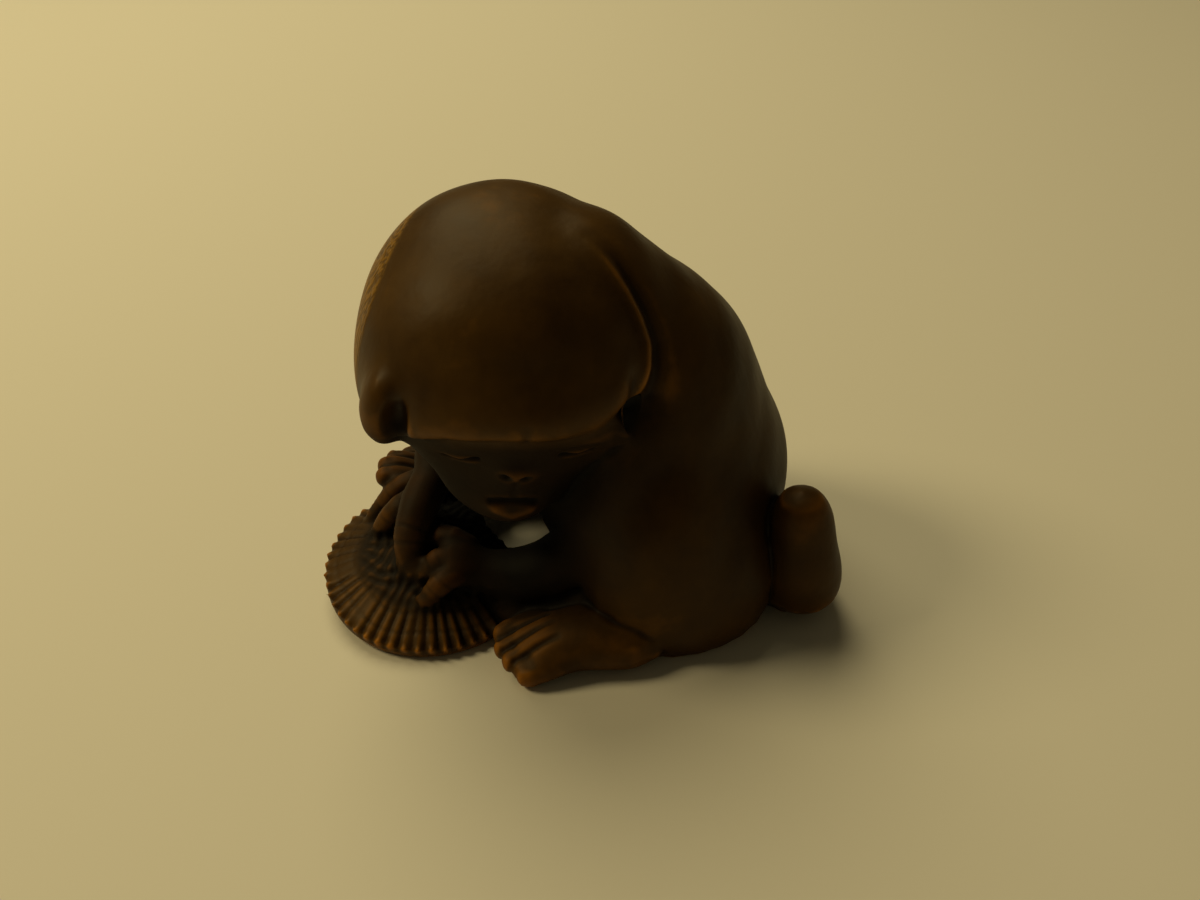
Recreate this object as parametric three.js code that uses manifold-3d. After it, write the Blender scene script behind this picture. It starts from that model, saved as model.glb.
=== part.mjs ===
// A netsuke: a young monkey carved from one block of boxwood. It sits hunched over a ribbed shell
// that it holds with both hands and between its feet, and turns its bowed head to its left.
// Millimetres. -Y is the monkey's front, +X its left side and +Z up. It rests on the plane z = 0.

import * as THREE from 'three';
import { mergeVertices } from 'three/addons/utils/BufferGeometryUtils.js';
import Module from 'manifold-3d';

const wasm = await Module();
wasm.setup();

// Body
const BODY_WIDTH = 22;
const RUMP_HEIGHT = 8.5;
const RUMP_Y = 7.4;
const SHOULDER_HEIGHT = 19;
const BODY_COLUMNS = 40;
const BODY_ROWS = 25;

// Head
const HEAD_CENTRE = [-1, -2.6, 20];
const SKULL_RADIUS = 9.7;
const HEAD_TURN = 77; // degrees to the monkey's left
const HEAD_BOW = 16; // degrees down
const HEAD_TILT = 6; // degrees, the right side of the face up
const HEAD_COLUMNS = 38;
const HEAD_ROWS = 32;

// Limbs
const ARM_RADIUS = 2.3;
const FINGER_RADIUS = 0.95;
const TOE_RADIUS = 1.2;

// Feet, flat on the ground at the left and lifted against the shell at the right
const LEFT_FOOT = {
  heel: [9.6, 1.6, 1.6],
  instep: [8.9, -1.3, 1.85],
  ball: [8.2, -4.2, 1.5],
  toeTips: [[9.9, -5.9, 1], [8.7, -6.5, 1.2], [7.5, -6.7, 1.3], [6.4, -6.4, 1.4]],
};
const RIGHT_FOOT = {
  heel: [-9, 0, 2],
  instep: [-9.2, -3.7, 3.2],
  ball: [-9.4, -7.4, 3.8],
  toeTips: [[-11.4, -8.8, 4.6], [-10.4, -10, 5.4], [-9.2, -10.8, 5.9], [-8, -11.2, 6]],
};

// Ribbed shell
const SHELL_CENTRE = [-2, -9.7, 0];
const SHELL_RADIUS = 7.9;
const SHELL_HEIGHT = 4.6;
const SHELL_RIM_HEIGHT = 1.9;
const SHELL_RIBS = 50;
const RIB_HEIGHT = 0.32;
const SHELL_TILT = 7; // degrees, its far side up

// Natural opening between the limbs that a cord passes through
const OPENING_CENTRE = [-4.1, -2.2];
const OPENING_WIDTH = 7.6;
const OPENING_LENGTH = 5.9;

const WOOD_COLOUR = 0x3a2410;

const vector = ([x, y, z]) => new THREE.Vector3(x, y, z);
const degrees = THREE.MathUtils.degToRad;

// Fields: functions of a point that are negative inside a form and near its skin about the distance to it.

function blob(centre, radii, turn = [0, 0, 0]) {
  const [rx, ry, rz] = turn.map(degrees);
  const local = new THREE.Matrix4().makeRotationFromEuler(new THREE.Euler(rx, ry, rz));
  local.setPosition(...centre).invert();
  const size = vector(radii);
  const least = Math.min(...radii);
  return (point) => (point.clone().applyMatrix4(local).divide(size).length() - 1) * least;
}

function blend(fields, softness) {
  return (point) => {
    const sum = fields.reduce((total, field) => total + Math.exp(-field(point) / softness), 0);
    return -softness * Math.log(sum);
  };
}

function carve(field, hollows, softness) {
  return (point) => {
    const sum = hollows.reduce((total, hollow) => total + Math.exp(-hollow(point) / softness), 0);
    return softness * Math.log(Math.exp(field(point) / softness) + sum);
  };
}

// Solids

function asSolid(geometry) {
  geometry.deleteAttribute('normal');
  geometry.deleteAttribute('uv');
  const merged = mergeVertices(geometry, 1e-5);
  const index = merged.index.array;
  const triangles = [];
  for (let i = 0; i < index.length; i += 3) {
    const [a, b, c] = index.subarray(i, i + 3);
    if (a !== b && b !== c && c !== a) {
      triangles.push(a, b, c);
    }
  }
  const vertProperties = new Float32Array(merged.attributes.position.array);
  const facing = signedVolume(vertProperties, triangles) > 0 ? triangles : triangles.reverse();
  const triVerts = new Uint32Array(facing);
  return new wasm.Manifold(new wasm.Mesh({ numProp: 3, vertProperties, triVerts }));
}

function signedVolume(positions, triangles) {
  const corner = (i) => new THREE.Vector3().fromArray(positions, triangles[i] * 3);
  let volume = 0;
  for (let i = 0; i < triangles.length; i += 3) {
    volume += corner(i).dot(corner(i + 1).cross(corner(i + 2))) / 6;
  }
  return volume;
}

// A ball of the given columns and rows, blown up from a centre until it meets the skin of a field.
function wrap(field, centre, pole, columns, rows) {
  const geometry = new THREE.SphereGeometry(1, columns, rows);
  const up = new THREE.Vector3(0, 1, 0);
  const turn = new THREE.Quaternion().setFromUnitVectors(up, vector(pole).normalize());
  const heart = vector(centre);
  const positions = geometry.attributes.position;
  for (let i = 0; i < positions.count; i += 1) {
    const direction = new THREE.Vector3().fromBufferAttribute(positions, i).applyQuaternion(turn);
    const skin = heart.clone().addScaledVector(direction, skinDistance(field, heart, direction));
    positions.setXYZ(i, skin.x, skin.y, skin.z);
  }
  return asSolid(geometry);
}

function skinDistance(field, heart, direction) {
  const step = 0.5;
  let outer = step;
  while (field(heart.clone().addScaledVector(direction, outer)) < 0) {
    outer += step;
  }
  let inner = outer - step;
  for (let i = 0; i < 20; i += 1) {
    const middle = (inner + outer) / 2;
    if (field(heart.clone().addScaledVector(direction, middle)) < 0) {
      inner = middle;
    } else {
      outer = middle;
    }
  }
  return outer;
}

// A round-ended limb along a smooth curve through the points, with a radius at each point.
// It is a lathed form whose rows are laid along the curve; flat below 1 presses it along up.
function limb(points, radii, { steps = 8, sides = 10, flat = 1, up = [0, 0, 1] } = {}) {
  const curve = new THREE.CatmullRomCurve3(points.map(vector));
  const girth = new THREE.SplineCurve(radii.map((radius, i) => new THREE.Vector2(i, radius)));
  const capRows = 2;
  const rows = [];
  for (let i = 0; i < capRows; i += 1) {
    const angle = (Math.PI / 2) * (1 - i / capRows);
    rows.push({ t: 0, scale: Math.cos(angle), over: -Math.sin(angle) });
  }
  for (let i = 0; i <= steps; i += 1) {
    rows.push({ t: i / steps, scale: 1, over: 0 });
  }
  for (let i = 1; i <= capRows; i += 1) {
    const angle = (Math.PI / 2) * (i / capRows);
    rows.push({ t: 1, scale: Math.cos(angle), over: Math.sin(angle) });
  }
  rows[0].scale = 0;
  rows[rows.length - 1].scale = 0;
  const geometry = new THREE.LatheGeometry(rows.map((row, i) => new THREE.Vector2(row.scale, i)), sides);
  const positions = geometry.attributes.position;
  for (let i = 0; i < positions.count; i += 1) {
    const row = rows[Math.round(positions.getY(i))];
    const radius = girth.getPoint(row.t).y;
    const along = curve.getTangent(row.t);
    const across = new THREE.Vector3().crossVectors(vector(up), along).normalize();
    const raised = new THREE.Vector3().crossVectors(along, across);
    const place = curve.getPoint(row.t).addScaledVector(along, row.over * radius);
    place.addScaledVector(across, positions.getX(i) * radius);
    place.addScaledVector(raised, positions.getZ(i) * radius * flat);
    positions.setXYZ(i, place.x, place.y, place.z);
  }
  return asSolid(geometry);
}

function ellipsoid(centre, radii, turn) {
  const geometry = new THREE.SphereGeometry(1, 10, 8);
  geometry.scale(...radii);
  geometry.applyMatrix4(new THREE.Matrix4().makeRotationFromEuler(new THREE.Euler(...turn.map(degrees))));
  geometry.translate(...centre);
  return asSolid(geometry);
}

// Body: rump, back, shoulders, belly and the two folded legs as one mass.
function bodyMass() {
  const side = BODY_WIDTH / 2;
  const trunk = [
    blob([0, RUMP_Y, RUMP_HEIGHT], [side - 1.7, 9.5, 9]),
    blob([-0.4, 6.3, SHOULDER_HEIGHT - 4.8], [8.2, 7.8, 9.2], [-10, 0, 0]),
    blob([-0.8, 0.8, SHOULDER_HEIGHT + 1.9], [7.4, 7, 8.3]),
    blob([-0.6, 4.4, SHOULDER_HEIGHT - 1.1], [7.4, 6.5, 7]),
  ];
  const thighs = [-1, 1].map((sign) => blob([sign * 5.9, 6.8, 3], [6.3, 7.2, 7.2], [12, 0, sign * -6]));
  const knees = [-1, 1].map((sign) => blob([sign * 7.3, 4, 6.6], [4.1, 4.2, 6.8], [-6, 0, 0]));
  const field = blend([...trunk, ...thighs, ...knees], 0.9);
  return wrap(field, [0, 6, 12], [0, 0, 1], BODY_COLUMNS, BODY_ROWS);
}

// The head stands in a frame of its own, facing -Y with its crown towards +Z and its left at +X.
function headMass() {
  const forehead = blob([0, -0.9, -0.7], [SKULL_RADIUS + 0.7, SKULL_RADIUS - 0.6, SKULL_RADIUS + 0.1]);
  const crown = blob([-0.6, 2.4, 0.5], [SKULL_RADIUS - 0.5, SKULL_RADIUS - 1, SKULL_RADIUS - 1]);
  const hairline = halfSpace([0, -8.9, 1.2], [0, -1, -1.1]);
  const cap = carve(blend([forehead, crown], 0.6), [hairline], 0.2);
  const brow = [-2, -1, 0, 1, 2].map((place) => {
    const angle = degrees(place * 21);
    const drop = 5.6 * (1 - Math.cos(angle));
    return blob([8.1 * Math.sin(angle), -7.9 * Math.cos(angle), 1.9 - drop], [1.7, 1.3, 1.1]);
  });
  const face = [
    blob([0, -4.7, -0.9], [7.4, 4, 2.6]),
    blob([0, -2.7, -2.6], [8.3, 5.4, 4.6]),
    blob([-0.4, -5, -5.4], [4.9, 3.5, 4.5]),
    blob([-0.5, -6, -5.6], [2.8, 3, 3]),
    blob([-0.5, -7.6, -6.4], [2.1, 1.5, 1.2]),
    blob([-0.3, -7.9, -2.7], [1.5, 1, 1.1]),
  ];
  const field = blend([cap, ...brow, ...face], 0.4);
  return wrap(field, [0, -2, -1], [0, -0.85, -0.4], HEAD_COLUMNS, HEAD_ROWS);
}

// A low ear against the side of the head, hollowed towards the face. The left one is pressed in
// by the shoulder.
function ear(sign) {
  const side = sign * (sign > 0 ? 7.5 : 8.3);
  const lean = [0, 0, sign * 24];
  const rim = ellipsoid([side, -4.8, 0.1], [1.8, 2.4, 3.4], lean);
  const hollow = ellipsoid([side - sign * 0.3, -7, 0.9], [0.9, 1.5, 1.9], lean);
  return { rim, hollow };
}

function halfSpace(point, normal) {
  const origin = vector(point);
  const outward = vector(normal).normalize();
  return (place) => -place.clone().sub(origin).dot(outward);
}

function head() {
  const turn = new THREE.Matrix4().makeRotationZ(degrees(HEAD_TURN));
  const bow = new THREE.Matrix4().makeRotationX(degrees(HEAD_BOW));
  const tilt = new THREE.Matrix4().makeRotationY(degrees(HEAD_TILT));
  const placed = turn.multiply(bow).multiply(tilt).setPosition(...HEAD_CENTRE);
  const ears = [-1, 1].map(ear);
  const whole = ears.reduce((solid, { rim, hollow }) => solid.add(rim).subtract(hollow), headMass());
  return whole.transform(placed.elements);
}

function leftArm() {
  return limb([[4.4, 4, 17.6], [5.6, 2.8, 12.4], [4.9, 0.4, 6.6], [3.4, -3.8, 3.6], [1.4, -8, 3.8]],
    [3.1, 3, 2.5, 2.1, 1.5], { steps: 9, sides: 12, up: [1, 0, 0] });
}

function rightArm() {
  return limb([[-5.4, 2, 18], [-8.6, -2, 12.6], [-8, -6, 9.6], [-5.2, -8, 8.2]],
    [3.4, 2.9, ARM_RADIUS, 1.8], { steps: 8, sides: 12, up: [1, 0, 0] });
}

function calf() {
  return limb([[7, 2, 2.6], [4.8, -2, 1.5], [3.4, -5.4, 1.1]], [2.8, 2.1, 1.8], { steps: 5, sides: 10 });
}

function fingers(roots, tips, knuckleLift, radius) {
  return roots.map((root, i) => {
    const tip = tips[i];
    const knuckle = root.map((value, axis) => (value + tip[axis]) / 2 + (axis === 2 ? knuckleLift : 0));
    return limb([root, knuckle, tip], [radius * 1.15, radius, radius * 0.8], { steps: 5, sides: 8 });
  });
}

function rightHand() {
  const thumb = limb(
    [[-5.4, -7.4, 8.2], [-3.2, -9.4, 7.6], [-1.3, -11, 5.8], [-0.1, -11.5, 4.4], [0.4, -11.6, 3.2]],
    [1.6, 1.5, 1.3, 1.05, 0.75], { steps: 9, sides: 10 });
  const others = fingers(
    [[-4, -9.6, 6.8], [-6, -8.8, 6.6]],
    [[-4.2, -13.5, 3], [-6.6, -12.8, 3.6]], 0.9, FINGER_RADIUS);
  return [thumb, ...others];
}

function leftHand() {
  return fingers(
    [[1.6, -7.4, 4.7], [0.8, -7.4, 4.9], [2.2, -7.8, 4.3]],
    [[0.9, -11, 4], [-1.5, -9.8, 4.8], [2.9, -11.2, 3]], 0.7, FINGER_RADIUS);
}

function foot(sign, { heel, instep, ball, toeTips }) {
  const sole = limb([heel, instep, ball], [2.6, 2.6, 2.4], { steps: 6, sides: 12, flat: 0.8 });
  const toes = toeTips.map((tip, i) => {
    const root = [ball[0] + (1.5 - i) * TOE_RADIUS * sign, ball[1] + 0.6, ball[2]];
    return limb([root, tip], [TOE_RADIUS, TOE_RADIUS * 0.9], { steps: 2, sides: 8 });
  });
  return [sole, ...toes];
}

function tail() {
  return limb([[0.5, 14.4, 2.6], [5, 15.2, 2], [9.4, 14.8, 2.6], [9.5, 14.2, 9]],
    [2.2, 2.8, 3, 2.2], { steps: 10, sides: 12, up: [0, 1, 0] });
}

function ribbedShell() {
  const profile = [[0, -1], [SHELL_RADIUS - 1.5, -1], [SHELL_RADIUS - 0.3, SHELL_RIM_HEIGHT - 1.1],
    [SHELL_RADIUS, SHELL_RIM_HEIGHT]];
  const rings = 3;
  for (let i = 1; i <= rings; i += 1) {
    const inward = i / rings;
    const rise = Math.sin(inward * Math.PI / 2);
    profile.push([SHELL_RADIUS * (1 - inward), SHELL_RIM_HEIGHT + (SHELL_HEIGHT - SHELL_RIM_HEIGHT) * rise]);
  }
  const geometry = new THREE.LatheGeometry(profile.map(([r, y]) => new THREE.Vector2(r, y)), SHELL_RIBS * 2);
  const positions = geometry.attributes.position;
  for (let i = 0; i < positions.count; i += 1) {
    const [x, height, z] = [positions.getX(i), positions.getY(i), positions.getZ(i)];
    const angle = Math.atan2(z, x);
    const column = Math.round((angle / (Math.PI * 2)) * SHELL_RIBS * 2);
    const reach = Math.hypot(x, z) / SHELL_RADIUS;
    const onTop = height >= SHELL_RIM_HEIGHT - 0.01;
    const swing = column % 2 === 0 ? RIB_HEIGHT : -RIB_HEIGHT;
    const rib = onTop ? swing * THREE.MathUtils.smoothstep(reach, 0.4, 0.8) : 0;
    positions.setXYZ(i, x * (1 + rib * 0.04), -z * (1 + rib * 0.04), height + rib * 0.5);
  }
  const placed = new THREE.Matrix4().makeRotationY(degrees(SHELL_TILT)).setPosition(...SHELL_CENTRE);
  return asSolid(geometry).transform(placed.elements);
}

function opening() {
  const geometry = new THREE.CapsuleGeometry(OPENING_LENGTH / 2, OPENING_WIDTH - OPENING_LENGTH, 4, 14);
  geometry.rotateZ(Math.PI / 2);
  geometry.scale(1, 1, 3);
  geometry.translate(OPENING_CENTRE[0], OPENING_CENTRE[1], 2);
  return asSolid(geometry);
}

function belowGround() {
  const depth = 20;
  const geometry = new THREE.BoxGeometry(80, 80, depth);
  geometry.translate(0, 0, -depth / 2);
  return asSolid(geometry);
}

function netsukeSolid() {
  const limbs = [
    leftArm(), rightArm(), calf(), tail(),
    ...rightHand(), ...leftHand(), ...foot(1, LEFT_FOOT), ...foot(-1, RIGHT_FOOT),
  ];
  const joined = [bodyMass(), head(), ribbedShell(), ...limbs].reduce((whole, piece) => whole.add(piece));
  return joined.subtract(opening()).subtract(belowGround());
}

function asGeometry(solid) {
  const mesh = solid.getMesh();
  const geometry = new THREE.BufferGeometry();
  geometry.setAttribute('position', new THREE.BufferAttribute(mesh.vertProperties, 3));
  geometry.setIndex(new THREE.BufferAttribute(mesh.triVerts, 1));
  geometry.computeVertexNormals();
  geometry.computeBoundingBox();
  return geometry;
}

const geometry = asGeometry(netsukeSolid());
const material = new THREE.MeshStandardMaterial({ color: WOOD_COLOUR, roughness: 0.4, metalness: 0 });
const netsuke = new THREE.Mesh(geometry, material);
netsuke.name = 'netsuke';

// The origin is under the middle of the carving, on the plane it rests on.
const middle = geometry.boundingBox.getCenter(new THREE.Vector3());
netsuke.position.set(-middle.x, -middle.y, 0);

const group = new THREE.Group();
group.add(netsuke);

export default group;
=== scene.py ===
"""The looks of a boxwood netsuke: a young monkey bent over a ribbed shell.

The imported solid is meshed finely, its facets are smoothed away, and the carver's finer work is cut
into the mesh. Shapes are worked out in millimetres, in the row frame, and the piece is scaled to
metres at the end. -Y is the monkey's front, +X its left side and +Z up.
"""

import math

import bmesh
import bpy
import numpy as np
from mathutils import Matrix, Vector
from mathutils.bvhtree import BVHTree
from mathutils.kdtree import KDTree


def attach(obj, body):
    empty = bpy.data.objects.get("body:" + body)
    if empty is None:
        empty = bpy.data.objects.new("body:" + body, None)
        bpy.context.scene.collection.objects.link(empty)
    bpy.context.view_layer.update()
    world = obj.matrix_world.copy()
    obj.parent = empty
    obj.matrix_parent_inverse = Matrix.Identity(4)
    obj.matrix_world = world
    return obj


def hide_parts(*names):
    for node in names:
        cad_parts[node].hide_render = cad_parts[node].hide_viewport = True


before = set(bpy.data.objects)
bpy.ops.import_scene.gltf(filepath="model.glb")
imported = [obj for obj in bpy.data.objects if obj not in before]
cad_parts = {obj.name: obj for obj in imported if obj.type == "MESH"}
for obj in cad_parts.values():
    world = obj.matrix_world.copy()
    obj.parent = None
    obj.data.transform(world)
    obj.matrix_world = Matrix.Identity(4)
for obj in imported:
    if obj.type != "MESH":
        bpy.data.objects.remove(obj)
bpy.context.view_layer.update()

NODE = "netsuke"
MM = 0.001

# The even mesh that the carving is cut into, and how many triangles of it are kept at the end
VOXEL = 0.15
TRIANGLES = 190000

# How open each place is, from rays that leave a coarse mesh
COARSE_VOXEL = 0.6
RAYS = 32
RAY_LENGTH = 14

# The head's own frame: it faces -Y, its crown is towards +Z and its left is at +X
HEAD_CENTRE = np.array([-1.042, -2.795, 20])
HEAD_ANGLES = (16, 6, 77)  # bow, tilt and turn, in degrees
HEAD_REACH = 11.5

# The face and the brow, as places in the head's own X and Z
BROW_EDGE = [(-7.6, 0.4), (-4.8, 2.6), (-1.9, 3.3), (-0.3, 3.5), (1.7, 3.4), (4.2, 3.7), (5.9, 4.2)]
BROW_GROOVE = [(-0.3, 1.4), (-0.35, 3)]
EYES = [((-4, -1.5), 0.3), ((3.3, -0.7), -0.1)]  # the middle of each, and how far its lids lean
NOSE = (-0.5, -1.8)
NOSTRILS = [(-1.15, -2.2), (0.05, -2.2)]
LIP_GROOVE = [(-0.5, -2.7), (-0.5, -4.3)]
MOUTH = [(-2, -5.1), (-1.3, -4.8), (-0.5, -4.75), (0.3, -4.8), (1, -5.1)]
LOWER_LIP = [(-1.5, -5.6), (-0.5, -5.9), (0.6, -5.6)]

# The edge of the head over the left shoulder, from the crown down to its notch
HEAD_RIM = [(1.2, 0.6, 28.8), (2.7, 1.7, 28), (4.1, 2.5, 26.7), (5.1, 3.2, 25), (5.9, 3.6, 23.2),
            (6.6, 3.4, 21.9), (7.4, 2.8, 20.3)]
RIM_NOTCH = (7.2, 2.2, 20.8)

# The shell's own frame: its middle on the ground, its axis up
SHELL_CENTRE = np.array([-2.042, -9.895, 0])
SHELL_TILT = 7  # degrees
SHELL_RADIUS = 7.9
SHELL_HEIGHT = 4.6
SHELL_RIM_HEIGHT = 1.9
SHELL_RIBS = 50
GROWTH_LINES = (0.7, 0.86)  # shares of the shell's radius

# Fingers and toes, from the root to the tip
RIGHT_THUMB = [(-3.3, -9.6, 7.6), (-1.4, -11.2, 5.8), (-0.2, -11.7, 4.4), (0.3, -11.8, 3.2)]
RIGHT_FINGERS = [[(-4.1, -9.8, 6.8), (-4.2, -11.7, 5.8), (-4.3, -13.7, 3)],
                 [(-6.1, -9, 6.6), (-6.4, -11, 6), (-6.7, -13, 3.6)]]
LEFT_FINGERS = [[(1.6, -7.6, 4.7), (1.2, -9.4, 5.1), (0.9, -11.2, 4)],
                [(0.8, -7.6, 4.9), (-0.4, -8.8, 5.6), (-1.5, -10, 4.8)],
                [(2.2, -8, 4.3), (2.5, -9.7, 4.4), (2.9, -11.4, 3)]]
LEFT_TOES = [[(10, -3.8, 1.5), (9.9, -6.1, 1)], [(8.8, -3.8, 1.5), (8.7, -6.7, 1.2)],
             [(7.6, -3.8, 1.5), (7.5, -6.9, 1.3)], [(6.4, -3.8, 1.5), (6.4, -6.6, 1.4)]]
RIGHT_TOES = [[(-11.2, -7, 3.8), (-11.4, -9, 4.6)], [(-10, -7, 3.8), (-10.4, -10.2, 5.4)],
              [(-8.8, -7, 3.8), (-9.2, -11, 5.9)], [(-7.6, -7, 3.8), (-8, -11.4, 6)]]
THUMB_RADIUS = 1.45
FINGER_RADIUS = 0.95
TOE_RADIUS = 1.1

# The view, and where the lights point
CAMERA_AZIMUTH = 70
CAMERA_ELEVATION = 38
CAMERA_DISTANCE = 100.4
CAMERA_TARGET = Vector((-12.8, 7.33, 0))
LENS = 35
LIT_POINT = Vector((0, 0, 8))


# Mesh

class Skin:
    """A closed mesh as arrays, with what is needed to smooth it and to cut into it."""

    def __init__(self, mesh):
        self.count = len(mesh.vertices)
        self.points = read(mesh.vertices, "co", 3, float)
        mesh.calc_loop_triangles()
        self.triangles = read(mesh.loop_triangles, "vertices", 3, np.int64)
        edges = read(mesh.edges, "vertices", 2, np.int64)
        ends = np.concatenate([edges, edges[:, ::-1]])
        ends = ends[np.argsort(ends[:, 0], kind="stable")]
        self.neighbours = ends[:, 1]
        self.first = np.searchsorted(ends[:, 0], np.arange(self.count))
        self.links = np.bincount(ends[:, 0], minlength=self.count)[:, None]

    def mean_of_neighbours(self, values):
        return np.add.reduceat(values[self.neighbours], self.first, axis=0) / self.links

    def blurred(self, values, reach):
        """The values spread over the skin to about the given reach in millimetres."""
        share = 0.8
        rows = values.reshape(self.count, -1)
        for _ in range(math.ceil((reach / VOXEL) ** 2 / (share / 2))):
            rows = rows + share * (self.mean_of_neighbours(rows) - rows)
        return rows.reshape(values.shape)

    def rounded(self, points, reach):
        """Points without waves shorter than about twice the reach, and with their volume kept."""
        once = self.blurred(points, reach)
        return once + (once - self.blurred(once, reach))

    def normals(self):
        a, b, c = (self.points[self.triangles[:, i]] for i in range(3))
        faces = np.cross(b - a, c - a)
        normals = np.zeros_like(self.points)
        for i in range(3):
            for axis in range(3):
                normals[:, axis] += np.bincount(self.triangles[:, i], faces[:, axis], self.count)
        lengths = np.linalg.norm(normals, axis=1, keepdims=True)
        return normals / np.maximum(lengths, np.finfo(float).tiny)

    def push(self, height):
        """Raises the skin by the heights along its normals; negative heights cut in."""
        self.points = self.points + self.normals() * height[:, None]

    def relief(self, reach):
        """How far each vertex stands above the skin's own mean: edges positive, creases negative."""
        return np.einsum("ij,ij->i", self.points - self.blurred(self.points, reach), self.normals())


def read(collection, name, width, kind):
    values = np.empty(len(collection) * width, kind)
    collection.foreach_get(name, values)
    return values.reshape(-1, width)


def with_modifier(mesh, kind, **settings):
    """A new mesh: the given one after one modifier."""
    holder = bpy.data.objects.new("holder", mesh)
    bpy.context.scene.collection.objects.link(holder)
    modifier = holder.modifiers.new("step", kind)
    for name, value in settings.items():
        setattr(modifier, name, value)
    graph = bpy.context.evaluated_depsgraph_get()
    result = bpy.data.meshes.new_from_object(holder.evaluated_get(graph))
    bpy.data.objects.remove(holder)
    return result


def without_specks(mesh):
    """The mesh with only the skin that its highest point is on. Voxels can leave specks in narrow gaps."""
    skin = Skin(mesh)
    kept = skin.points[:, 2] == skin.points[:, 2].max()
    count = 0
    while kept.sum() > count:
        count = kept.sum()
        kept = kept | np.logical_or.reduceat(kept[skin.neighbours], skin.first)
    whole = bmesh.new()
    whole.from_mesh(mesh)
    whole.verts.ensure_lookup_table()
    specks = [whole.verts[i] for i in np.flatnonzero(~kept)]
    bmesh.ops.delete(whole, geom=specks, context="VERTS")
    whole.to_mesh(mesh)
    whole.free()
    return mesh


def even_mesh(node, voxel):
    """The node's solid as an even mesh, in millimetres."""
    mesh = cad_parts[node].data.copy()
    mesh.transform(Matrix.Scale(1 / MM, 4))
    return without_specks(with_modifier(mesh, "REMESH", mode="VOXEL", voxel_size=voxel))


def dome(count):
    """Directions spread over the upper half of a ball, more of them near its top."""
    turns = np.arange(count) * math.pi * (3 - math.sqrt(5))
    radius = np.sqrt((np.arange(count) + 0.5) / count)
    return np.stack([radius * np.cos(turns), radius * np.sin(turns), np.sqrt(1 - radius ** 2)], axis=1)


def openness(node, points):
    """The share of the surroundings that each point sees, from 0 deep in a hollow to 1 on a crest."""
    coarse = Skin(even_mesh(node, COARSE_VOXEL))
    normals = coarse.normals()
    tree = BVHTree.FromPolygons(coarse.points.tolist(), coarse.triangles.tolist())
    places = KDTree(coarse.count)
    seen = np.empty(coarse.count)
    for i, (point, normal) in enumerate(zip(coarse.points, normals)):
        out = Vector(normal)
        turn = np.array(out.to_track_quat("Z", "Y").to_matrix())
        start = Vector(point) + out * 0.1
        hits = [tree.ray_cast(start, Vector(ray), RAY_LENGTH)[0] for ray in dome(RAYS) @ turn.T]
        seen[i] = hits.count(None) / RAYS
        places.insert(point, i)
    places.balance()
    seen = coarse.blurred(seen, 1)
    return seen[[places.find(point)[1] for point in points]]


# Strokes

def smoothstep(low, high, values):
    t = np.clip((values - low) / (high - low), 0, 1)
    return t * t * (3 - 2 * t)


def nearest_on(points, path):
    """Each point's distance from a path of straight legs, and how far along the path that is."""
    best = np.full(len(points), np.inf)
    place = np.zeros(len(points))
    travelled = 0
    for start, end in zip(np.array(path[:-1], float), np.array(path[1:], float)):
        leg = end - start
        length = np.linalg.norm(leg)
        t = np.clip((points - start) @ leg / length ** 2, 0, 1)
        distance = np.linalg.norm(points - start - t[:, None] * leg, axis=1)
        nearer = distance < best
        best[nearer] = distance[nearer]
        place[nearer] = travelled + t[nearer] * length
        travelled += length
    return best, place


def stroke(points, path, width):
    """1 along a path, and fading to nothing about a width away on each side."""
    distance, _ = nearest_on(points, path)
    return np.exp(-(distance / width) ** 2)


def spot(points, centre, radii):
    """1 at a centre, and fading to nothing about the radii away."""
    return np.exp(-(((points - np.array(centre)) / np.array(radii)) ** 2).sum(axis=1))


def in_head(points):
    """Points in the head's own frame."""
    bow, tilt, turn = (math.radians(angle) for angle in HEAD_ANGLES)
    matrix = Matrix.Rotation(turn, 3, "Z") @ Matrix.Rotation(bow, 3, "X") @ Matrix.Rotation(tilt, 3, "Y")
    return (points - HEAD_CENTRE) @ np.array(matrix)


def in_shell(points):
    """Points in the shell's own frame."""
    matrix = Matrix.Rotation(math.radians(SHELL_TILT), 3, "Y")
    return (points - SHELL_CENTRE) @ np.array(matrix)


# Carving. Each function gives heights in millimetres for the whole skin.

def brow_heights(head):
    """The overhanging edge of the brow, the hollows under and beside it and the dish above it."""
    front = smoothstep(3.5, 6, -head[:, 1])
    plan = head[:, [0, 2]]
    under = [(x, z - 1.9) for x, z in BROW_EDGE]
    temple = spot(plan, (7, 1.8), (1.6, 1.3))
    forehead = spot(plan, (-0.4, 6), (5, 1.5))
    heights = 0.12 * stroke(plan, BROW_EDGE, 1) - 0.35 * stroke(plan, under, 0.7)
    heights -= 0.7 * temple + 0.45 * forehead + 0.07 * stroke(plan, BROW_GROOVE, 0.3)
    return heights * front


def nape_heights(points):
    """The rim of the head over the left shoulder, with a valley behind it that ends in a notch."""
    valley = [(x + 0.3, y + 0.9, z - 0.3) for x, y, z in HEAD_RIM]
    fade = smoothstep(29.5, 25.5, points[:, 2])
    heights = 0.3 * stroke(points, HEAD_RIM, 0.5) - 0.55 * stroke(points, valley, 0.7)
    return heights * fade - 0.5 * spot(points, RIM_NOTCH, (0.7, 0.7, 1.2))


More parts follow.
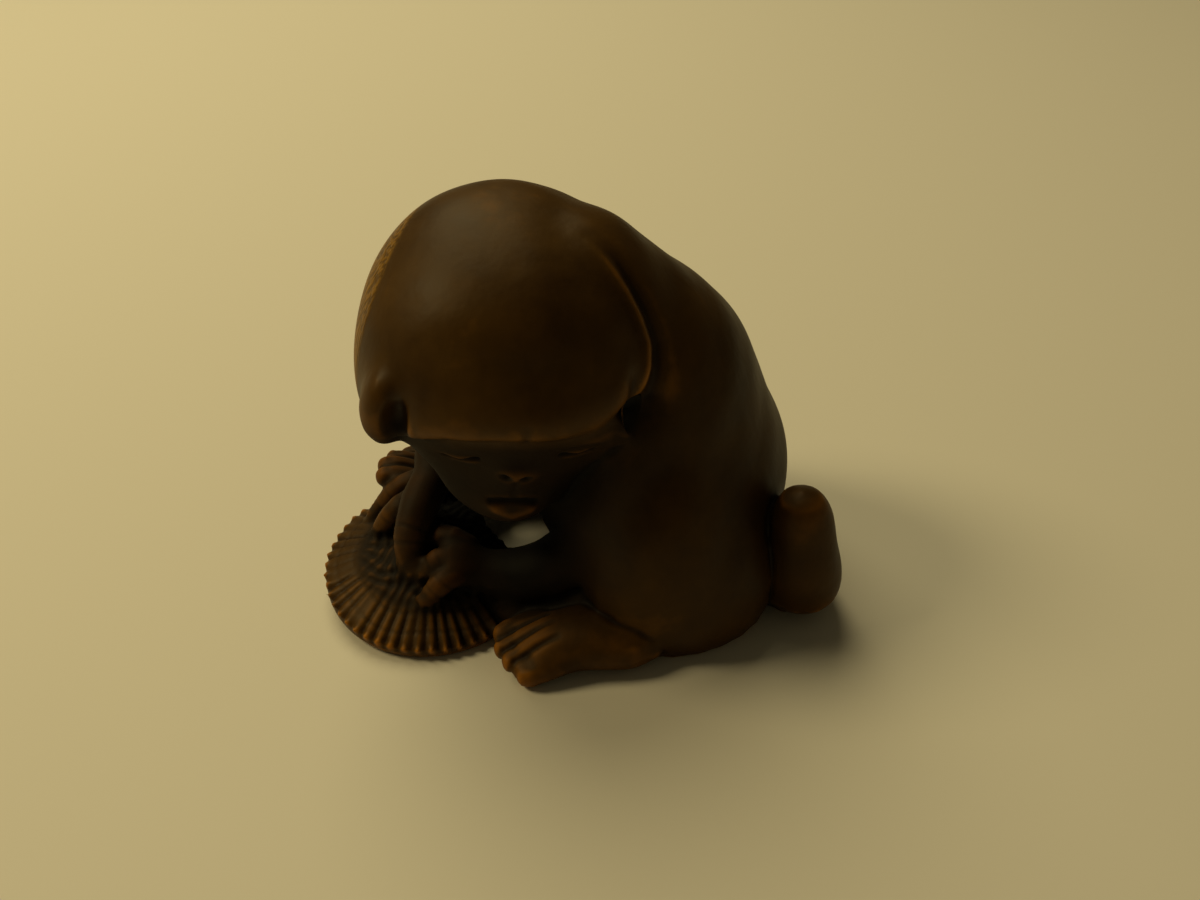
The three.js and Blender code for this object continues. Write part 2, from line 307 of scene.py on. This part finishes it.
def face_heights(head):
    """Two closed eyes, a flat nose, the mouth and a lower lip."""
    front = smoothstep(4.5, 6, -head[:, 1])
    plan = head[:, [0, 2]]
    heights = np.zeros(len(head))
    for (x, z), lean in EYES:
        lids = [(x - 1, z - lean), (x, z - 0.15), (x + 1, z + lean)]
        heights -= 0.5 * spot(plan, (x, z), (1.9, 1.1))
        heights += 0.45 * spot(plan, (x, z), (1.1, 0.6))
        heights -= 0.35 * stroke(plan, lids, 0.17)
    heights += 0.35 * spot(plan, NOSE, (1.2, 0.75))
    for nostril in NOSTRILS:
        heights -= 0.4 * spot(plan, nostril, (0.32, 0.28))
    heights -= 0.08 * stroke(plan, LIP_GROOVE, 0.25)
    heights -= 0.26 * stroke(plan, MOUTH, 0.2)
    heights += 0.25 * stroke(plan, LOWER_LIP, 0.5)
    return heights * front


def digit_heights(points, path, radius, creases):
    """Creases across one finger or toe, and a nail at its end."""
    distance, along = nearest_on(points, path)
    length = sum(math.dist(start, end) for start, end in zip(path, path[1:]))
    on = 1 - smoothstep(radius * 1.2, radius * 1.6, distance)
    heights = np.zeros(len(points))
    for crease in creases:
        heights -= 0.03 * np.exp(-((along - crease * length) / 0.16) ** 2)
    top = np.array(path[-1]) + (0, 0, radius * 0.8)
    heights -= 0.12 * spot(points, top, (0.55, 0.55, 0.5))
    return heights * on


def hand_and_foot_heights(points):
    """Creases and nails of the fingers and toes, and grooves between the toes."""
    heights = digit_heights(points, RIGHT_THUMB, THUMB_RADIUS, (0.45, 0.6))
    for path in RIGHT_FINGERS + LEFT_FINGERS:
        heights += digit_heights(points, path, FINGER_RADIUS, (0.5, 0.75))
    for path in LEFT_TOES + RIGHT_TOES:
        heights += digit_heights(points, path, TOE_RADIUS, ())
    for toes in (LEFT_TOES, RIGHT_TOES):
        for one, other in zip(toes, toes[1:]):
            start, end = ((np.array(a) + np.array(b)) / 2 for a, b in zip(one, other))
            plan = [start[:2], (end + 0.2 * (end - start))[:2]]
            beside = np.abs(points[:, 2] - (start[2] + end[2]) / 2)
            heights -= 0.22 * stroke(points[:, :2], plan, 0.22) * smoothstep(2.4, 1.6, beside)
    return heights


def shell_heights(points):
    """Ribs that radiate to the scalloped rim, with a few growth lines across them."""
    local = in_shell(points)
    reach = np.hypot(local[:, 0], local[:, 1]) / SHELL_RADIUS
    inward = np.clip(1 - reach, 0, 1)
    top = SHELL_RIM_HEIGHT + (SHELL_HEIGHT - SHELL_RIM_HEIGHT) * np.sin(inward * math.pi / 2)
    on = (1 - smoothstep(0.35, 0.7, np.abs(local[:, 2] - top))) * smoothstep(1.12, 1.06, reach)
    angle = np.arctan2(local[:, 1], local[:, 0])
    wander = 0.05 * np.sin(5 * angle + 1) * (1 - reach)
    rib = np.abs(np.cos((angle + wander) * SHELL_RIBS / 2)) ** 0.8
    start = 0.55 + 0.05 * np.sin(7 * angle) + 0.03 * np.sin(23 * angle)
    depth = 0.15 + 0.05 * np.sin(9 * angle + 2) + 0.04 * np.sin(31 * angle) - 0.08 * np.sin(angle - 2.3)
    heights = -depth * (1 - rib) * smoothstep(start, start + 0.2, reach) * smoothstep(1.05, 0.94, reach)
    for ring in GROWTH_LINES:
        heights -= 0.03 * np.exp(-((reach - ring - 0.02 * np.sin(6 * angle)) / 0.02) ** 2)
    x, y = local[:, 0], local[:, 1]
    knobs = np.sin(5.2 * x + 1.5 * np.sin(2.1 * y)) * np.sin(4.7 * y + 1.2 * np.sin(1.9 * x))
    heights += 0.12 * knobs * smoothstep(0.75, 0.5, reach)
    return heights * on


def wear_heights(points):
    """The slight waviness that the knife and long handling leave."""
    x, y, z = points.T
    waves = np.sin(0.45 * x + 0.65 * z + 0.4) * np.sin(0.55 * y - 0.35 * z)
    return 0.08 * waves * np.sin(0.4 * z + 0.3 * x - 0.6 * y)


def carved(mesh):
    """The skin of the even mesh, without the solid's facets and with the carver's work."""
    skin = Skin(mesh)
    skin.points = skin.rounded(skin.points, 0.3)
    move = skin.rounded(skin.points, 0.9) - skin.points
    share = 1 - smoothstep(0.05, 0.12, skin.blurred(np.linalg.norm(move, axis=1), 0.4))
    skin.points = skin.points + move * share[:, None]

    worn_ear = np.minimum(1, 1.5 * spot(in_head(skin.points), (-8.3, -5, 0.4), (2.6, 2.8, 3.6)))
    skin.points = skin.points + worn_ear[:, None] * (skin.blurred(skin.points, 0.6) - skin.points)

    above_ground = smoothstep(0.05, 0.6, skin.points[:, 2])
    broad = wear_heights(skin.points) + brow_heights(in_head(skin.points)) + nape_heights(skin.points)
    skin.push(above_ground * broad)
    fine = face_heights(in_head(skin.points)) + hand_and_foot_heights(skin.points)
    skin.push(above_ground * (fine + shell_heights(skin.points)))
    skin.points[:, 2] = np.maximum(skin.points[:, 2], 0)
    return skin


# Shares, from 0 to 1 for each point

def hair_and_light_share(points):
    """Where the fur's fine lines aren't worn away: the far side of the head and of the back, where the
    material also lightens them as painted light.
    """
    head = in_head(points)
    x, y, z = head.T
    behind = smoothstep(-0.3, 0.5, y - 3.2 - 2.1 * (x + 7.6))
    on_head = behind * smoothstep(-5, 0, z) * smoothstep(2, 4, -x)
    x, y, z = points.T
    on_back = smoothstep(5, 8, -x) * smoothstep(3, 6, z) * smoothstep(-2, 1, y)
    apart = smoothstep(HEAD_REACH - 1, HEAD_REACH + 2, np.linalg.norm(head, axis=1))
    return (1 - apart) * on_head + 0.35 * apart * on_back


def stain_and_shade_share(points):
    """Where the colour is darkened: over the face by a stain and by painted shade, and as painted shade in
    the hollow under the arms and in the shell's middle.
    """
    head = in_head(points)
    x, y, z = head.T
    near = 1 - smoothstep(10, 14, np.linalg.norm(head, axis=1))
    face = near * smoothstep(3.5, 5.5, -y) * smoothstep(1.8, 0.2, z - 0.1 * x)
    # The lower lip catches the light, so less of the darkening is put on it
    lip = np.minimum(1, 1.3 * spot(head[:, [0, 2]], (-0.5, -5.7), (1.9, 0.9)))
    # Painted shade in the hollow under the arms, where the head shades them
    hollow = np.minimum(1, 1.4 * spot(points, (3.4, -3.4, 4.6), (3.4, 4, 4)))

    x, y, z = in_shell(points).T
    reach = np.hypot(x, y) / SHELL_RADIUS
    on_top = smoothstep(0.9, 0.4, np.abs(z - SHELL_HEIGHT + 0.8))
    # The shell's painted shade reaches furthest on its side away from the light
    shaded = np.maximum(0, np.cos(np.arctan2(y, x) - 0.6))
    shell = 0.75 * smoothstep(1, 0.6, reach - 0.25 * shaded) * on_top
    return np.maximum(0.75 * face * (1 - 0.8 * lip), np.maximum(hollow, shell))


def level(heights, least, span):
    """Heights as numbers from 0 to 1 around a half, leaving out the slightest ones."""
    clear = np.sign(heights) * np.maximum(np.abs(heights) - least, 0)
    return np.clip(0.5 + clear / span, 0, 1)


# Material

# Colours of the wood by how far it stands out, from a crease to an edge
WOOD_TONES = ((0, (0.004, 0.0018, 0.0004)), (0.36, (0.024, 0.0105, 0.0011)),
              (0.55, (0.056, 0.0265, 0.002)), (0.82, (0.24, 0.1, 0.008)))

# What the colour is multiplied by: painted shade in broad hollows, a little lighter on broad swells;
# painted shade by how closed in a place is; the stain and painted shade; the fur, lightened as painted
# light
BROAD_SHADE_TONES = ((0, (0.35, 0.3, 0.25)), (0.5, (1, 1, 1)), (1, (1.3, 1.2, 1.1)))
OPEN_SHADE_TONES = ((0.35, (0.04, 0.035, 0.035)), (0.7, (0.33, 0.3, 0.27)), (0.97, (1.16, 1.14, 1)))
STAIN_AND_SHADE_TONES = ((0, (1, 1, 1)), (1, (0.12, 0.12, 0.16)))
STRAND_TONES = ((0.42, (0.3, 0.3, 0.3)), (0.55, (1, 1, 1)))
FUR_AND_LIGHT_TONES = ((0, (1, 1, 1)), (1, (4, 4.4, 5.5)))

SPECULAR_LEVEL = 0.15
SMOOTHEST = 0.32
ROUGHEST = 0.7
BUMP_DEPTH = 0.0002  # metres


class Shading:
    """A material, with what is needed to join its nodes."""

    def __init__(self, name):
        self.material = bpy.data.materials.new(name)
        self.material.use_nodes = True
        self.tree = self.material.node_tree
        self.shader = self.tree.nodes["Principled BSDF"]
        self.place = self.node("ShaderNodeTexCoord").outputs["Object"]

    def node(self, kind, **values):
        made = self.tree.nodes.new(kind)
        for name, value in values.items():
            if name in made.inputs:
                made.inputs[name].default_value = value
            else:
                setattr(made, name, value)
        return made

    def link(self, source, socket):
        self.tree.links.new(source, socket)

    def share(self, name):
        """A number that is stored at each vertex."""
        return self.node("ShaderNodeAttribute", attribute_name=name).outputs["Fac"]

    def noise(self, scale, detail, roughness, height=1):
        """Noise whose spots are 1 / height times as high as wide."""
        made = self.node("ShaderNodeTexNoise", Scale=scale, Detail=detail, Roughness=roughness)
        stretch = self.node("ShaderNodeMapping", Scale=(1, 1, height))
        self.link(self.place, stretch.inputs["Vector"])
        self.link(stretch.outputs["Vector"], made.inputs["Vector"])
        return made.outputs["Fac"]

    def ramp(self, source, stops):
        made = self.node("ShaderNodeValToRGB")
        elements = made.color_ramp.elements
        while len(elements) < len(stops):
            elements.new(0.5)
        for element, (position, colour) in zip(elements, stops):
            element.position = position
            element.color = (*colour, 1)
        self.link(source, made.inputs["Fac"])
        return made.outputs["Color"]

    def math(self, operation, a, b):
        made = self.node("ShaderNodeMath", operation=operation)
        for socket, value in zip(made.inputs, (a, b)):
            if isinstance(value, (int, float)):
                socket.default_value = value
            else:
                self.link(value, socket)
        return made.outputs["Value"]

    def multiply(self, a, b):
        mix = self.node("ShaderNodeMix", data_type="RGBA", blend_type="MULTIPLY")
        mix.inputs["Factor"].default_value = 1
        self.link(a, mix.inputs["A"])
        self.link(b, mix.inputs["B"])
        return mix.outputs["Result"]


def boxwood():
    """Dark stained boxwood: worn warm on its edges and dull in its hollows, which painted shade makes
    nearly black; the fur's side is lightened as painted light.
    """
    wood = Shading("boxwood")
    hair_and_light, open_share, stain_and_shade = (wood.share(name) for name in ("hair_and_light", "open", "stain_and_shade"))
    blotch = wood.noise(160, 4, 0.6)
    strands = wood.noise(3600, 1, 0.5, 0.07)

    unevenness = wood.math("MULTIPLY", wood.math("SUBTRACT", blotch, 0.5), 0.5)
    wear = wood.math("ADD", wood.share("edge"), unevenness)
    # Painted light: the fur's lines are lightened up to about five times where the light falls, on the far
    # side of the head and on the back
    fur_and_light = wood.ramp(wood.math("MULTIPLY", wood.ramp(strands, STRAND_TONES), hair_and_light), FUR_AND_LIGHT_TONES)
    # Painted shade: darker in broad hollows, a little lighter on broad swells
    colour = wood.multiply(wood.ramp(wear, WOOD_TONES), wood.ramp(wood.share("broad"), BROAD_SHADE_TONES))
    # Mostly painted shade, partly the patina of the hollows: places that see little of their surroundings
    # are darkened to nearly black
    colour = wood.multiply(colour, wood.ramp(open_share, OPEN_SHADE_TONES))
    # Darkened where the stain and the painted shade lie
    colour = wood.multiply(colour, wood.multiply(wood.ramp(stain_and_shade, STAIN_AND_SHADE_TONES), fur_and_light))
    wood.link(colour, wood.shader.inputs["Base Color"])

    hidden = wood.math("MULTIPLY", wood.math("SUBTRACT", 1, open_share), 1.2)
    dull = wood.math("ADD", wood.math("MULTIPLY", blotch, 0.8), wood.math("ADD", hidden, stain_and_shade))
    rough = wood.node("ShaderNodeMapRange")
    rough.inputs["To Min"].default_value = SMOOTHEST
    rough.inputs["To Max"].default_value = ROUGHEST
    wood.link(dull, rough.inputs["Value"])
    wood.link(rough.outputs["Result"], wood.shader.inputs["Roughness"])
    wood.shader.inputs["Specular IOR Level"].default_value = SPECULAR_LEVEL

    grain = wood.math("MULTIPLY", wood.noise(900, 3, 0.6, 0.12), 0.15)
    marks = wood.math("MULTIPLY", wood.noise(700, 2, 0.5), 0.35)
    height = wood.math("ADD", wood.math("ADD", grain, marks), wood.math("MULTIPLY", strands, hair_and_light))
    bump = wood.node("ShaderNodeBump", Strength=0.6, Distance=BUMP_DEPTH)
    wood.link(height, bump.inputs["Height"])
    wood.link(bump.outputs["Normal"], wood.shader.inputs["Normal"])
    return wood.material


def pale_paper():
    material = bpy.data.materials.new("pale_paper")
    material.use_nodes = True
    shader = material.node_tree.nodes["Principled BSDF"]
    shader.inputs["Base Color"].default_value = (0.8, 0.78, 0.74, 1)
    shader.inputs["Roughness"].default_value = 0.9
    return material


# The piece

def store(mesh, name, values):
    """Keeps a number at each vertex under a name that the material reads."""
    layer = mesh.attributes.new(name, "FLOAT", "POINT")
    layer.data.foreach_set("value", values.astype(np.float32))


def netsuke():
    mesh = even_mesh(NODE, VOXEL)
    skin = carved(mesh)
    mesh.vertices.foreach_set("co", (skin.points * MM).ravel())
    store(mesh, "edge", level(skin.relief(0.35), 0.012, 0.32))
    # Broad relief, which the material darkens in its hollows as painted shade
    store(mesh, "broad", level(skin.relief(1.5), 0.05, 1.6))
    # How open each place is: the material darkens closed places with it as painted shade and makes them
    # duller
    store(mesh, "open", skin.blurred(openness(NODE, skin.points), 0.5))
    # Where the fur's lines are, which the material also lightens as painted light
    store(mesh, "hair_and_light", hair_and_light_share(skin.points))
    # Where the stain and the painted shade darken the colour; it also dulls it
    store(mesh, "stain_and_shade", stain_and_shade_share(skin.points))
    mesh.update()
    mesh = with_modifier(mesh, "DECIMATE", ratio=TRIANGLES / len(skin.triangles))
    mesh.polygons.foreach_set("use_smooth", np.ones(len(mesh.polygons), bool))
    mesh.materials.clear()
    mesh.materials.append(boxwood())
    piece = bpy.data.objects.new("carved_monkey", mesh)
    bpy.context.scene.collection.objects.link(piece)
    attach(piece, "root")
    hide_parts(NODE)


# Surroundings

def floor():
    bpy.ops.mesh.primitive_plane_add(size=2, location=(0, 0, 0))
    plane = bpy.context.object
    plane.name = "floor"
    plane.data.materials.append(pale_paper())


def area_light(name, place, size, power, colour):
    """A round light that points at the middle of the carving, with its place and size in millimetres."""
    data = bpy.data.lights.new(name, "AREA")
    data.shape = "DISK"
    data.size = size * MM
    data.energy = power
    data.color = colour
    light = bpy.data.objects.new(name, data)
    light.location = Vector(place) * MM
    light.rotation_euler = (LIT_POINT - Vector(place)).to_track_quat("-Z", "Y").to_euler()
    bpy.context.scene.collection.objects.link(light)


def lights():
    """A lamp in front, a broad soft one on the right side, and a little light from all round."""
    area_light("key", (-100, -240, 260), 110, 0.42, (1, 0.8, 0.38))
    area_light("soft", (-240, -30, 320), 300, 0.7, (1, 0.83, 0.42))
    world = bpy.data.worlds.new("world")
    world.use_nodes = True
    background = world.node_tree.nodes["Background"]
    background.inputs["Color"].default_value = (1, 0.82, 0.42, 1)
    background.inputs["Strength"].default_value = 0.05
    bpy.context.scene.world = world
    bpy.context.scene.view_settings.view_transform = "Standard"


def camera():
    azimuth = math.radians(CAMERA_AZIMUTH)
    elevation = math.radians(CAMERA_ELEVATION)
    back = Vector((math.sin(azimuth) * math.cos(elevation), -math.cos(azimuth) * math.cos(elevation),
                   math.sin(elevation)))
    data = bpy.data.cameras.new("camera")
    data.lens = LENS
    data.sensor_width = 36
    data.clip_start = 0.001
    view = bpy.data.objects.new("camera", data)
    view.location = (CAMERA_TARGET + back * CAMERA_DISTANCE) * MM
    view.rotation_euler = (-back).to_track_quat("-Z", "Y").to_euler()
    bpy.context.scene.collection.objects.link(view)
    bpy.context.scene.camera = view


netsuke()
floor()
lights()
camera()
